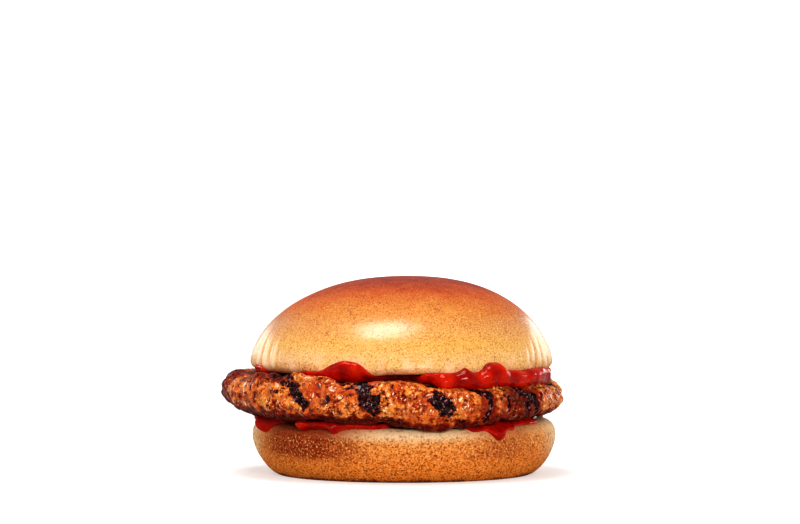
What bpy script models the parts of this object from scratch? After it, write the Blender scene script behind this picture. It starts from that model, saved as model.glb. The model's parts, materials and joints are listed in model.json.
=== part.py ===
"""A sausage sandwich: a round bun cut across, with a grilled sausage patty and ketchup between its halves.

Metres, +Z up. The origin lies on the surface that the bun stands on, under the middle of the sausage patty.
The sandwich's front is its -Y side, and angles run anticlockwise from +X, seen from above.
Each piece starts as a round about its own upright axis, and rules of angle and height then shape it.
"""

import math

import bmesh
import bpy
from mathutils import Vector, noise

# The bun: its two halves are as wide as each other, and each lies a little off the sausage's middle.
BUN_RADIUS = 0.0520
BUN_DENT = 0.0008  # soft dents in the crust
BUN_DENT_SIZE = 0.019
HEEL_CENTRE = Vector((0.0043, 0.0, 0.0))
HEEL_TOP = 0.0188  # height of the heel's cut face
HEEL_SHOULDER = 0.0045  # rounding where the cut face meets the side
HEEL_FOOT_DEPTH = 0.0092  # how far the underside's rounding reaches in
HEEL_FOOT_HEIGHT = 0.0130  # and how far it reaches up
HEEL_FOOT_SQUARENESS = 1.55  # 2 is a round corner, and less is a more slanting one
CROWN_CENTRE = Vector((0.0031, 0.0, 0.0))
CROWN_CUT = 0.0364  # height of the crown's cut face
CROWN_EDGE = 0.0026  # rounding where the cut face meets the wall
CROWN_WIDEST = 0.0376  # height at which the dome starts to lean in
CROWN_TOP = 0.0676
CROWN_FLATNESS = 2.4  # 2 is an ellipse, and more is a flatter top
CROWN_SLOPE = 1.7  # 2 is an ellipse, and less is a wall that leans in sooner
CROWN_LEAN = 0.0020  # how far the dome's top has slumped towards +X

# Folds that stand up the crown's wall, in clusters: angle and half width in degrees, then depth.
FOLD_CLUSTERS = (
    (-151, 18, 0.00050),
    (-21, 16, 0.00055),
    (38, 16, 0.00045),
    (96, 12, 0.00025),
    (148, 18, 0.00050),
)
FOLD_PITCH = math.radians(8.6)
FOLD_REACH = 0.0150  # the folds fade out this far above the cut face

# The sausage patty: a thick round with a full rim, thinner at its left and right ends.
PATTY_RADIUS = 0.0585
PATTY_BOTTOM = 0.0203
PATTY_TOP = 0.0348
PATTY_MID = (PATTY_BOTTOM + PATTY_TOP) / 2
PATTY_HALF = (PATTY_TOP - PATTY_BOTTOM) / 2
RIM_DEPTH = 0.0072  # how far in the rim's rounding reaches
RIM_SQUARENESS = 2.3  # 2 is a round rim, and more is a boxier one
RIM_BAND = 0.0140  # how far in the changes below fade out
END_THINNING = 0.0021  # off each half thickness at both ends
RIGHT_THINNING = 0.0003  # and a little more at the right
LEFT_LIFT = 0.0019
RIGHT_DROP = 0.0009
RIM_SAG = 0.0011  # how far the rim droops at the front and back
OUTLINE_WAVE = 0.0011
OUTLINE_WAVES = 2.1  # how often the outline wanders in and out
LUMP_SIZE = 0.0095
LUMP_HEIGHT = 0.0010
CRAG_SIZE = 0.0037
CRAG_HEIGHT = 0.0007
FLAT_SHARE = 0.25  # share of the relief left where the bun presses on the sausage

# Grooves burnt by the grill's bars, which lie slantwise: distances from the sausage's middle.
BAR_ANGLE = math.radians(30)
TOP_BARS = (-0.0530, -0.0395, -0.0130, 0.0045, 0.0235, 0.0420)
BOTTOM_BARS = (-0.0450, -0.0270, -0.0070, 0.0120, 0.0310, 0.0480)
BAR_WIDTH = 0.0042
BAR_DEPTH = 0.0008
BAR_WANDER = 0.0012
BAR_WANDER_SIZE = 0.012

# Ketchup: a sheet under the crown and one over the heel, squeezed out along the crust in places.
GAP = 0.00035  # between touching pieces
RELIEF_ALLOWANCE = 0.0004  # room left over the sausage's relief
SHEET_INSET = 0.0070  # where none shows, the sheet ends this far inside the bun's side
FOOT_INSET = 0.0077  # and its foot on the sausage this far
# Each squeeze: angle and half width in degrees, how much further the sheet reaches along the crust, and how
# far its foot runs out over the sausage, as a share of the way to the rim.
UPPER_SQUEEZES = (
    (-160, 5, 0.0086, 0.1),
    (-128, 9, 0.0080, 0.5),
    (-110, 14, 0.0124, 1.0),
    (-71, 10, 0.0086, 1.0),
    (-54, 11, 0.0100, 0.8),
    (-34, 12, 0.0084, 0.8),
    (-15, 7, 0.0074, 1.0),
    (12, 14, 0.0086, 0.6),
    (38, 11, 0.0072, 0.3),
    (66, 14, 0.0118, 1.0),
    (86, 10, 0.0080, 0.6),
    (118, 15, 0.0092, 0.9),
    (150, 11, 0.0100, 0.7),
)
LOWER_SQUEEZES = (
    (-154, 8, 0.0078, 0.9),
    (-128, 9, 0.0054, 0.6),
    (-115, 8, 0.0068, 0.8),
    (-103, 9, 0.0036, 0.4),
    (-64, 7, 0.0058, 0.7),
    (-53, 7, 0.0088, 0.9),
    (-37, 13, 0.0050, 0.5),
    (-17, 7, 0.0040, 0.3),
    (18, 10, 0.0078, 0.9),
    (44, 14, 0.0056, 0.6),
    (76, 9, 0.0088, 1.0),
    (94, 11, 0.0052, 0.5),
    (131, 10, 0.0082, 0.9),
    (148, 11, 0.0050, 0.5),
    (177, 9, 0.0066, 0.7),
)
UPPER_SPREAD = 0.0042  # how far inside the sausage's rim the upper ketchup's foot can come
LOWER_SPREAD = 0.0072
UPPER_BELLY = 0.60  # how far the ketchup bulges, as a share of the gap that it spans
LOWER_BELLY = 0.68
DRY_BELLY = 0.50  # the same where none is squeezed out
BELLY_DROOP = 0.12  # how far the bulge leans away from the crust
FOOT_FULLNESS = 0.35  # how steeply the bulge meets the sausage

# Fineness: steps about the axis, rows across the ketchup's sections, and the triangles that a piece keeps.
STEPS = {"crown": 216, "heel": 120, "sausage_patty": 240, "ketchup": 240}
CRUST_ROWS = (0.0100, 0.0072, 0.0052, 0.0036, 0.0022, 0.0010, 0.0)  # distances back from the sheet's edge
SAUSAGE_ROWS = (0.0, 0.0015, 0.0040, 0.0080)  # and back from its foot
BELLY_ROWS = 5
TRIANGLES = {
    "crown": 2700,
    "heel": 1700,
    "sausage_patty": 4300,
    "ketchup_upper": 2500,
    "ketchup_lower": 2300,
}
WELD = 1e-6

# Finishes: colour and roughness.
FINISHES = {
    "crown_crust": ((0.80, 0.36, 0.08, 1), 0.35),
    "heel_crust": ((0.68, 0.27, 0.06, 1), 0.75),
    "sausage": ((0.36, 0.11, 0.035, 1), 0.45),
    "ketchup": ((0.46, 0.012, 0.003, 1), 0.15),
}
COLLECTION = "sausage_sandwich"


# ---------------------------------------------------------------- small rules


def smoothstep(low, high, value):
    share = min(1.0, max(0.0, (value - low) / (high - low)))
    return share * share * (3 - 2 * share)


def lerp(first, second, share):
    return first + (second - first) * share


def hump(angle, centre_degrees, half_width_degrees):
    """1 about the centre angle, falling off smoothly on both sides."""
    off = (angle - math.radians(centre_degrees) + math.pi) % math.tau - math.pi
    return math.exp(-(abs(off / math.radians(half_width_degrees)) ** 3))


def merged(values):
    """The largest of the values, or a little more where two are much alike."""
    return sum(value**4 for value in values) ** 0.25


def soft_noise(point, size):
    return noise.noise(point / size)


def heading(angle):
    return Vector((math.cos(angle), math.sin(angle), 0))


def polar(point):
    """A place's distance and angle about the +Z axis."""
    return math.hypot(point.x, point.y), math.atan2(point.y, point.x)


# ---------------------------------------------------------------- profiles, as (radius, height)


def crown_wall(height):
    """Radius of the dome at this height, without its bottom edge's rounding."""
    rise = max(0.0, (height - CROWN_WIDEST) / (CROWN_TOP - CROWN_WIDEST))
    return BUN_RADIUS * (1 - rise**CROWN_SLOPE) ** (1 / CROWN_FLATNESS)


def crown_profile():
    """From the middle of the cut face, round the edge and over the dome to its top."""
    points = [(BUN_RADIUS * share, CROWN_CUT) for share in (0, 0.4, 0.75)]
    edge_steps, dome_steps = 5, 22
    for step in range(edge_steps + 1):
        turn = math.pi / 2 * step / edge_steps
        height = CROWN_CUT + CROWN_EDGE * (1 - math.cos(turn))
        points.append((crown_wall(height) - CROWN_EDGE * (1 - math.sin(turn)), height))
    dome = CROWN_TOP - CROWN_WIDEST
    edge_turn = math.asin((CROWN_CUT + CROWN_EDGE - CROWN_WIDEST) / dome)
    for step in range(1, dome_steps):
        height = CROWN_WIDEST + dome * math.sin(lerp(edge_turn, math.pi / 2, step / dome_steps))
        points.append((crown_wall(height), height))
    return points + [(0.0, CROWN_TOP)]


def heel_profile():
    """From the middle of the cut face, round the shoulder and down to the middle of the underside."""
    points = [(BUN_RADIUS * share, HEEL_TOP) for share in (0, 0.4, 0.75)]
    shoulder_steps, foot_steps = 6, 9
    for step in range(shoulder_steps + 1):
        turn = math.pi / 2 * step / shoulder_steps
        inset = HEEL_SHOULDER * (1 - math.sin(turn))
        points.append((BUN_RADIUS - inset, HEEL_TOP - HEEL_SHOULDER * (1 - math.cos(turn))))
    power = 2 / HEEL_FOOT_SQUARENESS
    for step in range(1, foot_steps):
        turn = math.pi / 2 * step / foot_steps
        inset = HEEL_FOOT_DEPTH * (1 - math.cos(turn) ** power)
        points.append((BUN_RADIUS - inset, HEEL_FOOT_HEIGHT * (1 - math.sin(turn) ** power)))
    return points + [(BUN_RADIUS - HEEL_FOOT_DEPTH, 0.0), (BUN_RADIUS * 0.4, 0.0), (0.0, 0.0)]


def patty_profile():
    """From the middle of the top, round the full rim and back to the middle of the underside."""
    core = PATTY_RADIUS - RIM_DEPTH
    shares = (0, 0.45, 0.7, 0.82, 0.92, 1)
    rim_steps = 14
    points = [(core * share, PATTY_TOP) for share in shares]
    for step in range(1, rim_steps):
        turn = math.pi * (0.5 - step / rim_steps)
        out = math.cos(turn) ** (2 / RIM_SQUARENESS)
        up = math.copysign(abs(math.sin(turn)) ** (2 / RIM_SQUARENESS), math.sin(turn))
        points.append((core + RIM_DEPTH * out, PATTY_MID + PATTY_HALF * up))
    return points + [(core * share, PATTY_BOTTOM) for share in reversed(shares)]


def place_along(profile, distance):
    """The point at this distance along the profile from its first point."""
    for start, end in zip(profile, profile[1:]):
        step = (Vector(end) - Vector(start)).length
        if distance <= step:
            return Vector(start).lerp(Vector(end), distance / step)
        distance -= step
    return Vector(profile[-1])


def place_outside(profile, side, distance):
    """The same, but one gap outside the crust of the crown (side 1) or the heel (side -1)."""
    stride = 0.0006
    behind = place_along(profile, max(0.0, distance - stride))
    along = (place_along(profile, distance + stride) - behind).normalized()
    return place_along(profile, distance) + Vector((along.y, -along.x)) * side * GAP


# ---------------------------------------------------------------- the sausage's form


def patty_outline(angle):
    """The rim's radius at this angle."""
    wander = soft_noise(heading(angle) * OUTLINE_WAVES + Vector((0, 0, 4.7)), 1.0)
    return PATTY_RADIUS + OUTLINE_WAVE * wander


def rim_share(radius):
    """0 over the flat middle of the sausage and 1 at its rim."""
    return smoothstep(PATTY_RADIUS - RIM_BAND, PATTY_RADIUS - 0.1 * RIM_BAND, radius)


def patty_mid(radius, angle):
    """Height of the middle of the sausage's thickness."""
    rightness = math.cos(angle)
    tilt = (RIGHT_DROP if rightness > 0 else LEFT_LIFT) * rightness
    return PATTY_MID - (tilt + RIM_SAG * math.sin(angle) ** 2) * rim_share(radius)


def patty_thinning(radius, angle):
    """The share of the sausage's full thickness that is left here."""
    lost = END_THINNING * math.cos(angle) ** 2 + RIGHT_THINNING * math.cos(angle)
    return 1 - lost / PATTY_HALF * rim_share(radius)


def bar_groove(point, bars):
    """1 in the middle of a burnt groove and 0 away from them all."""
    across = point.x * math.cos(BAR_ANGLE) + point.y * math.sin(BAR_ANGLE)
    across += BAR_WANDER * soft_noise(point, BAR_WANDER_SIZE)
    nearest = min(abs(across - bar) for bar in bars)
    return 1 - smoothstep(0.25 * BAR_WIDTH, 0.75 * BAR_WIDTH, nearest)


def patty_relief(point, radius):
    """How far the ground meat stands out of the smooth form at this point."""
    lumps = LUMP_HEIGHT * soft_noise(point, LUMP_SIZE)
    crags = CRAG_HEIGHT * soft_noise(point + Vector((0.3, 0.1, 0.2)), CRAG_SIZE)
    above = point.z - PATTY_MID
    bars = TOP_BARS if above > 0 else BOTTOM_BARS
    off_middle = smoothstep(0.05 * PATTY_HALF, 0.45 * PATTY_HALF, abs(above))
    groove = BAR_DEPTH * bar_groove(point, bars) * off_middle
    return (lumps + crags) * lerp(FLAT_SHARE, 1, rim_share(radius)) - groove


def shape_patty(point):
    """Moves a point of the turned patty to its place on the sausage."""
    radius, angle = polar(point)
    core = PATTY_RADIUS - RIM_DEPTH
    if radius < core:
        outward = Vector((0, 0, math.copysign(1, point.z - PATTY_MID)))
    else:
        outward = (point - heading(angle) * core - Vector((0, 0, PATTY_MID))).normalized()
    scale = patty_outline(angle) / PATTY_RADIUS
    height = patty_mid(radius, angle) + (point.z - PATTY_MID) * patty_thinning(radius, angle)
    formed = Vector((point.x * scale, point.y * scale, height))
    return formed + outward * patty_relief(formed, radius)


def patty_face(place, side):
    """Height of the sausage's top (side 1) or underside (side -1) over this place."""
    distance, angle = polar(place)
    radius = distance * PATTY_RADIUS / patty_outline(angle)
    into_rim = min(0.96, max(0.0, (radius - PATTY_RADIUS + RIM_DEPTH) / RIM_DEPTH))
    half = PATTY_HALF * (1 - into_rim**RIM_SQUARENESS) ** (1 / RIM_SQUARENESS)
    height = patty_mid(radius, angle) + side * half * patty_thinning(radius, angle)
    return height + side * max(0.0, patty_relief(Vector((place.x, place.y, height)), radius))


# ---------------------------------------------------------------- the bun's form


def fold_depth(angle, height):
    """How deep the crown's wall is creased here."""
    fade = 1 - smoothstep(0.25 * FOLD_REACH, FOLD_REACH, height - CROWN_CUT)
    uneven_angle = math.tau * angle / FOLD_PITCH + 3 * math.sin(2 * angle)
    crease = 0.5 - 0.5 * math.cos(uneven_angle)
    gathered = sum(depth * hump(angle, centre, width) for centre, width, depth in FOLD_CLUSTERS)
    return fade * crease * gathered


def dent_depth(point):
    return -BUN_DENT * min(0.0, soft_noise(point, BUN_DENT_SIZE))


def shape_crown(point):
    """Moves a point of the turned dome to its place on the crown."""
    radius, angle = polar(point)
    rise = (point.z - CROWN_CUT) / (CROWN_TOP - CROWN_CUT)
    on_wall = smoothstep(0.85 * BUN_RADIUS, BUN_RADIUS, radius)
    off_axis = smoothstep(0, 0.2 * BUN_RADIUS, radius)
    inward = fold_depth(angle, point.z) * on_wall + dent_depth(point) * min(1, 10 * rise) * off_axis
    return point + Vector((CROWN_LEAN * rise**3, 0, 0)) - heading(angle) * inward


def shape_heel(point):
    """Moves a point of the turned heel to its place."""
    radius, angle = polar(point)
    on_side = smoothstep(0.8 * BUN_RADIUS, BUN_RADIUS, radius)
    return point - heading(angle) * dent_depth(point) * on_side


# ---------------------------------------------------------------- ketchup


def bezier(start, start_pull, end_pull, end, share):
    rest = 1 - share
    first = start * rest**3 + start_pull * (3 * rest**2 * share)
    return first + end_pull * (3 * rest * share**2) + end * share**3


def rim_from(centre, angle):
    """Distance at this angle from the axis of a bun half to the sausage's rim."""
    along = centre.dot(heading(angle))
    return -along + math.sqrt(along**2 + PATTY_RADIUS**2 - centre.length_squared)


def ketchup_section(angle, side, centre, crust, squeezes, spread, full_belly):
    """The sheet's section at this angle: out along the crust, round the belly and back over the sausage."""
    climb = merged([reach * hump(angle, at, width) for at, width, reach, run in squeezes])
    wet = min(1.0, merged([run * hump(angle, at, width) for at, width, reach, run in squeezes]))
    edge = BUN_RADIUS - SHEET_INSET + climb
    foot = lerp(BUN_RADIUS - FOOT_INSET, rim_from(centre, angle) - spread, wet)

    def on_sausage(radius):
        place = centre + heading(angle) * radius
        clearance = GAP + RELIEF_ALLOWANCE * lerp(FLAT_SHARE, 1, rim_share(place.length))
        return Vector((radius, patty_face(place, side) + side * clearance))

    along_crust = [0.0, 0.5 * edge] + [edge - back for back in CRUST_ROWS]
    over_sausage = [foot - back for back in SAUSAGE_ROWS] + [0.5 * foot, 0.0]
    crust_points = [place_outside(crust, side, distance) for distance in along_crust]
    sausage_points = [on_sausage(radius) for radius in over_sausage]
    start, end = crust_points[-1], sausage_points[0]
    bulge = (end - start).length * lerp(DRY_BELLY, full_belly, wet)
    start_pull = start + Vector((1, -side * BELLY_DROOP)) * bulge
    end_pull = end + Vector((0.7, side * FOOT_FULLNESS * wet)) * bulge
    shares = [(row + 1) / (BELLY_ROWS + 1) for row in range(BELLY_ROWS)]
    belly_points = [bezier(start, start_pull, end_pull, end, share) for share in shares]
    return crust_points + belly_points + sausage_points


# ---------------------------------------------------------------- making the solids


def finished(slot):
    """The material of this slot."""
    material = bpy.data.materials.get(slot) or bpy.data.materials.new(slot)
    material.use_nodes = True
    shader = material.node_tree.nodes["Principled BSDF"]
    colour, roughness = FINISHES[slot]
    shader.inputs["Base Color"].default_value = colour
    shader.inputs["Roughness"].default_value = roughness
    return material


def add_piece(name, slot, mesh, centre):
    """The named object of a mesh, in its finish, thinned to its number of triangles."""
    mesh.materials.clear()
    mesh.materials.append(finished(slot))
    mesh.shade_smooth()
    piece = bpy.data.objects.new(name, mesh)
    piece.location = centre
    bpy.data.collections[COLLECTION].objects.link(piece)
    thin = piece.modifiers.new("Thin", "DECIMATE")
    thin.ratio = min(1.0, TRIANGLES[name] / len(mesh.polygons))


def close_up(mesh):
    """Welds the points that meet on the axis, splits the faces and turns them outwards."""
    closer = bmesh.new()
    closer.from_mesh(mesh)
    bmesh.ops.remove_doubles(closer, verts=closer.verts, dist=WELD)
    bmesh.ops.triangulate(closer, faces=closer.faces)
    bmesh.ops.recalc_face_normals(closer, faces=closer.faces)
    closer.to_mesh(mesh)
    closer.free()


def turned_piece(name, slot, profile, shape, centre):
    """A profile turned about +Z, whose points are then moved by the piece's own rule."""
    line = bpy.data.meshes.new(name)
    points = [(radius, 0, height) for radius, height in profile]
    line.from_pydata(points, [(n, n + 1) for n in range(len(points) - 1)], [])
    blank = bpy.data.objects.new(name + "_blank", line)
    bpy.data.collections[COLLECTION].objects.link(blank)
    turn = blank.modifiers.new("Turn", "SCREW")
    turn.steps = turn.render_steps = STEPS[name]
    turn.use_merge_vertices = True
    turn.merge_threshold = WELD
    mesh = bpy.data.meshes.new_from_object(blank.evaluated_get(bpy.context.evaluated_depsgraph_get()))
    bpy.data.objects.remove(blank)
    close_up(mesh)
    for vertex in mesh.vertices:
        vertex.co = shape(vertex.co.copy())
    add_piece(name, slot, mesh, centre)


def ketchup_piece(name, side, centre, crust, squeezes, spread, belly):
    """A sheet lofted all round between sections that differ from angle to angle."""
    steps = STEPS["ketchup"]
    points, faces = [], []
    for step in range(steps):
        angle = math.tau * step / steps
        section = ketchup_section(angle, side, centre, crust, squeezes, spread, belly)
        points += [heading(angle) * radius + Vector((0, 0, height)) for radius, height in section]
        rows = len(section)
        here, following = step * rows, (step + 1) % steps * rows
        faces += [(here + n, following + n, following + n + 1, here + n + 1) for n in range(rows - 1)]
    mesh = bpy.data.meshes.new(name)
    mesh.from_pydata(points, [], faces)
    close_up(mesh)
    add_piece(name, "ketchup", mesh, centre)


def main():
    for old in list(bpy.data.objects):
        bpy.data.objects.remove(old)
    bpy.context.scene.collection.children.link(bpy.data.collections.new(COLLECTION))
    crown_crust, heel_crust = crown_profile(), heel_profile()
    crown_top_down = list(reversed(crown_crust))
    turned_piece("heel", "heel_crust", heel_crust, shape_heel, HEEL_CENTRE)
    ketchup_piece("ketchup_lower", -1, HEEL_CENTRE, heel_crust, LOWER_SQUEEZES, LOWER_SPREAD, LOWER_BELLY)
    turned_piece("sausage_patty", "sausage", patty_profile(), shape_patty, Vector())
    ketchup_piece("ketchup_upper", 1, CROWN_CENTRE, crown_crust, UPPER_SQUEEZES, UPPER_SPREAD, UPPER_BELLY)
    turned_piece("crown", "crown_crust", crown_top_down, shape_crown, CROWN_CENTRE)


main()
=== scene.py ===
"""The looks of a sausage sandwich: a glossy bun, a coarse flame-grilled sausage patty and ketchup.

Metres, +Z up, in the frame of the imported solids. The sandwich's front is its -Y side, and angles run
anticlockwise from +X, seen from above. Each piece is a skin wrapped round its own upright axis: a grid
of places with one column for each step of angle and one row for each point of the section.
"""

import math

import bpy
import numpy as np
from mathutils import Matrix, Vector, noise
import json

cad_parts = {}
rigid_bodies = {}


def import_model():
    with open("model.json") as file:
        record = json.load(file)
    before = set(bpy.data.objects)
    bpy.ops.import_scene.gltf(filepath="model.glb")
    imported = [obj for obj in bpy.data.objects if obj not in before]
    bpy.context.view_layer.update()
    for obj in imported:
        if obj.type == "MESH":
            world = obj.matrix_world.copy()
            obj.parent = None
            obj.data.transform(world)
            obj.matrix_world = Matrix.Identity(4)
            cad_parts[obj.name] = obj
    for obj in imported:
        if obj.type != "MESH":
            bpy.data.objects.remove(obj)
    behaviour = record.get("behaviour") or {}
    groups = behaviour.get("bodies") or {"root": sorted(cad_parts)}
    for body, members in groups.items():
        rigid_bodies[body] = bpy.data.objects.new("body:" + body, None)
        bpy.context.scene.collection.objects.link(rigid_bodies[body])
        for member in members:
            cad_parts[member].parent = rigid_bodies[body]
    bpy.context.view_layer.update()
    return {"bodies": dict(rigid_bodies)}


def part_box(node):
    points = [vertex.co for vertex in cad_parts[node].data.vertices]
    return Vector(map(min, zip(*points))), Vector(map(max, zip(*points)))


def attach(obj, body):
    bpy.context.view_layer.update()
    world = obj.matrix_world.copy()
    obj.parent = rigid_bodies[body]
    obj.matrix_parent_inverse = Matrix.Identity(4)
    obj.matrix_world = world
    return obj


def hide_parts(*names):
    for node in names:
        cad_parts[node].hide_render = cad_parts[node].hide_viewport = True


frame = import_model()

MM = 0.001

# ---------------------------------------------------------------- driving dimensions, from the solids

HEEL_LOW, HEEL_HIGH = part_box("heel")
CROWN_LOW, CROWN_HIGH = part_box("crown")
BUN_RADIUS = (HEEL_HIGH.y - HEEL_LOW.y) / 2
HEEL_X = HEEL_HIGH.x - BUN_RADIUS
HEEL_TOP = HEEL_HIGH.z
CROWN_X = CROWN_LOW.x + BUN_RADIUS
CROWN_CUT = CROWN_LOW.z
CROWN_TOP = CROWN_HIGH.z

# The crown's dome.
CROWN_EDGE = 2.6 * MM  # rounding where the cut face meets the wall
CROWN_WIDEST = CROWN_CUT + 1.2 * MM
CROWN_FLATNESS = 2.4  # 2 is an ellipse, and more is a flatter top
CROWN_SLOPE = 1.7  # 2 is an ellipse, and less is a wall that leans in sooner
CROWN_LEAN = 2.0 * MM  # how far the top has slumped towards +X
# Where the front of the dome's edge has lifted off the sausage: its middle and half width in degrees.
EDGE_LIFT_AT, EDGE_LIFT_WIDTH = -88, 12
EDGE_LIFT, EDGE_LIFT_BAND = 0.9 * MM, 8 * MM
# Painted shade: the crown's creases are painted darker, most of all at this depth.
CREASE_FULL = 0.5 * MM  # a crease of this depth is at its darkest
WRINKLE_DEPTH, WRINKLE_SIZE, WRINKLE_STRETCH = 0.10 * MM, 1.6 * MM, 0.12
CROWN_DIMPLE_DEPTH, CROWN_DIMPLE_SIZE = 0.05 * MM, 3 * MM

# Both halves of the bun.
DENT_DEPTH, DENT_SIZE = 0.8 * MM, 19 * MM
BUN_STEPS = 640  # steps of angle round each half

# The heel.
HEEL_SHOULDER = 4.5 * MM
HEEL_FOOT_DEPTH = 9.2 * MM
HEEL_FOOT_HEIGHT = 13.0 * MM
HEEL_FOOT_SQUARENESS = 1.55
PORE_DEPTH, PORE_SIZE, PORELESS_SHARE = 0.16 * MM, 1.5 * MM, 0.55
HEEL_DIMPLE_DEPTH, HEEL_DIMPLE_SIZE = 0.06 * MM, 2.5 * MM
# Where the heel's side is painted browner, partly uneven baking and partly painted shadow under the
# sausage's overhang: angle and half width in degrees, and strength.
HEEL_BROWNING_AND_SHADE = (
    (-140, 17, 1.0),
    (-119, 13, 0.7),
    (-48, 15, 0.55),
    (20, 20, 0.5),
    (75, 22, 0.8),
    (140, 20, 0.6),
)
# Where it is paler from low down, and where at its shoulder alone, partly paler crust and partly
# painted light on its far edges and shoulder: angle and half width in degrees.
HEEL_PALE_AND_LIT = ((-178, 14), (-3, 17), (48, 10), (108, 12))
SHOULDER_PALE_AND_LIT = ((-86, 24), (12, 20), (88, 26), (152, 16))

# The sausage patty.
PATTY_RADIUS = 58.5 * MM
PATTY_BOTTOM = 20.3 * MM
PATTY_TOP = 34.8 * MM
PATTY_MID = (PATTY_BOTTOM + PATTY_TOP) / 2
PATTY_HALF = (PATTY_TOP - PATTY_BOTTOM) / 2
RIM_DEPTH = 7.2 * MM
PATTY_CORE = PATTY_RADIUS - RIM_DEPTH
RIM_SQUARENESS = 2.3  # 2 is an ellipse, and more is squarer
RIM_BAND = 14.0 * MM  # the width in which the flat middle turns into the rough, uneven rim
END_THINNING = 2.1 * MM
RIGHT_THINNING = 0.3 * MM
LEFT_LIFT, RIGHT_DROP = 1.9 * MM, 0.9 * MM
RIM_SAG = 1.1 * MM
OUTLINE_WAVE, OUTLINE_WAVES = 1.1 * MM, 2.1
# Where the rim's upper and lower edges swell or shrink: angle and half width in degrees, and rise in mm.
TOP_LIFTS = (
    (-134, 17, 3.2),
    (-108, 10, 1.4),
    (-88, 9, 1.2),
    (-66, 12, -0.5),
    (30, 18, 1.2),
    (100, 16, 1.5),
)
BOTTOM_LIFTS = (
    (-108, 14, 1.5),
    (-94, 7, 1.2),
    (-72, 12, -1.2),
    (-58, 7, -0.3),
    (48, 16, 1.0),
    (135, 18, 1.2),
)
# The relief of the ground meat, from the broadest to the finest: height or depth, and size.
LUMP_HEIGHT, LUMP_SIZE = 1.0 * MM, 9.5 * MM
CRAG_HEIGHT, CRAG_SIZE = 0.7 * MM, 3.7 * MM
FOLD_HEIGHT, FOLD_SIZE = 0.95 * MM, 4.0 * MM
RIDGE_HEIGHT, RIDGE_SIZE = 0.35 * MM, 1.9 * MM
GRAIN_HEIGHT, GRAIN_SIZE = 0.16 * MM, 2.3 * MM
HOLLOW_DEPTH, HOLLOW_SIZE = 0.45 * MM, 2.4 * MM
CHAR_DEPTH = 0.45 * MM
RELIEF_MIDDLE = 0.20 * MM  # taken off, so that the relief stands round the smooth form
BEND, BEND_SIZE = 0.8 * MM, 3 * MM  # how far the folds and grains are pushed out of true
PATTY_STEPS = 1000
# Where the meat is grilled dark, partly painted shade under the crown's edge and along the underside:
# angle and half width in degrees, the highest and lowest height as a share of the way from the middle
# to the top (1) or the underside (-1), and strength.
SEARED_AND_SHADED = (
    (-177, 15, 1.2, -1.0, 0.95),
    (-143, 16, 1.1, 0.62, 0.80),
    (-39, 10, 0.9, -1.0, 0.85),
    (-50, 9, -0.35, -1.0, 0.80),
    (-56, 4, 0.9, -1.0, 0.60),
    (0, 8, 0.2, -1.0, 0.55),
    (36, 10, 0.9, -0.6, 0.6),
    (88, 9, 0.8, -1.0, 0.6),
    (141, 9, 0.9, -0.8, 0.6),
)
FLAT_SHARE = 0.25  # share of the relief left where the bun presses on the sausage

# Grooves burnt by the grill's bars, which lie slantwise: distances from the sausage's middle.
BAR_ANGLE = math.radians(30)
TOP_BARS = np.array((-53.0, -39.5, -13.0, 4.5, 23.5, 42.0)) * MM
BOTTOM_BARS = np.array((-45.0, -27.0, -7.0, 12.0, 31.0, 48.0)) * MM
BAR_WIDTH, BAR_DEPTH = 4.2 * MM, 0.8 * MM
BAR_WANDER, BAR_WANDER_SIZE = 1.2 * MM, 12 * MM

# Char burnt into the rim: angle in degrees and height in mm of each stroke's two ends, and its half
# width in mm.
CHAR_STROKES = (
    (-137, 36.5, -128, 37.5, 0.5),
    (-131, 34.6, -124.5, 33.6, 0.9),
    (-125.5, 32.4, -121.5, 27.4, 1.9),
    (-110, 35.6, -104.6, 36.8, 0.7),
    (-104.6, 36.4, -99.5, 33.8, 1.3),
    (-99.5, 31.4, -97, 27.6, 3.2),
    (-74, 28.8, -71.5, 26.4, 2.8),
    (-60.5, 32.4, -54.5, 29.7, 1.1),
    (-54.5, 29.7, -56.1, 21.2, 0.8),
    (-41.8, 33.0, -33, 26.9, 1.8),
    (-33, 26.9, -30, 21.0, 1.3),
    (-46.4, 29.0, -46.8, 26.4, 0.9),
    (-37.5, 27.5, -36.0, 22.0, 0.9),
    (-132.3, 31.3, -131.9, 31.1, 0.7),
    (-112.6, 28.8, -112.0, 29.6, 0.7),
    (-145.2, 31.9, -145.0, 31.9, 0.4),
    (-8, 33.0, -3, 24.0, 2.0),
    (22, 34.0, 29, 22.0, 2.6),
    (48, 33.0, 51, 27.0, 2.8),
    (71, 34.5, 74, 30.0, 1.6),
    (74, 30.0, 79, 23.0, 2.9),
    (101, 34.0, 104, 27.0, 2.4),
    (126, 35.0, 131, 24.0, 2.5),
    (152, 34.0, 155, 29.0, 2.7),
    (177, 35.5, 181, 29.5, 2.0),
)

# Creases up the crown's wall: angle in degrees, half width, depth and reach above the cut in mm.
CREASES = (
    (-171, 0.7, 0.25, 12),
    (-165, 0.6, 0.28, 14),
    (-157.5, 0.7, 0.36, 16),
    (-150.5, 0.7, 0.34, 15),
    (-144, 0.7, 0.16, 13),
    (-43, 0.5, 0.12, 14),
    (-38, 0.6, 0.20, 15),
    (-33, 0.5, 0.24, 14),
    (-28, 0.8, 0.42, 13),
    (-22, 0.7, 0.38, 15),
    (-15, 0.8, 0.36, 14),
    (-8, 0.7, 0.30, 12),
    (26, 0.8, 0.34, 13),
    (34, 0.9, 0.44, 14),
    (43, 0.7, 0.40, 15),
    (50, 0.8, 0.28, 12),
    (88, 0.7, 0.24, 12),
    (97, 0.8, 0.26, 13),
    (134, 0.8, 0.30, 12),
    (142, 0.9, 0.46, 14),
    (151, 0.8, 0.48, 15),
    (159, 0.9, 0.40, 13),
    (167, 0.7, 0.34, 12),
)
CREASE_LEAN = 0.25  # how far a crease leans as it climbs, in mm for each mm
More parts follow.
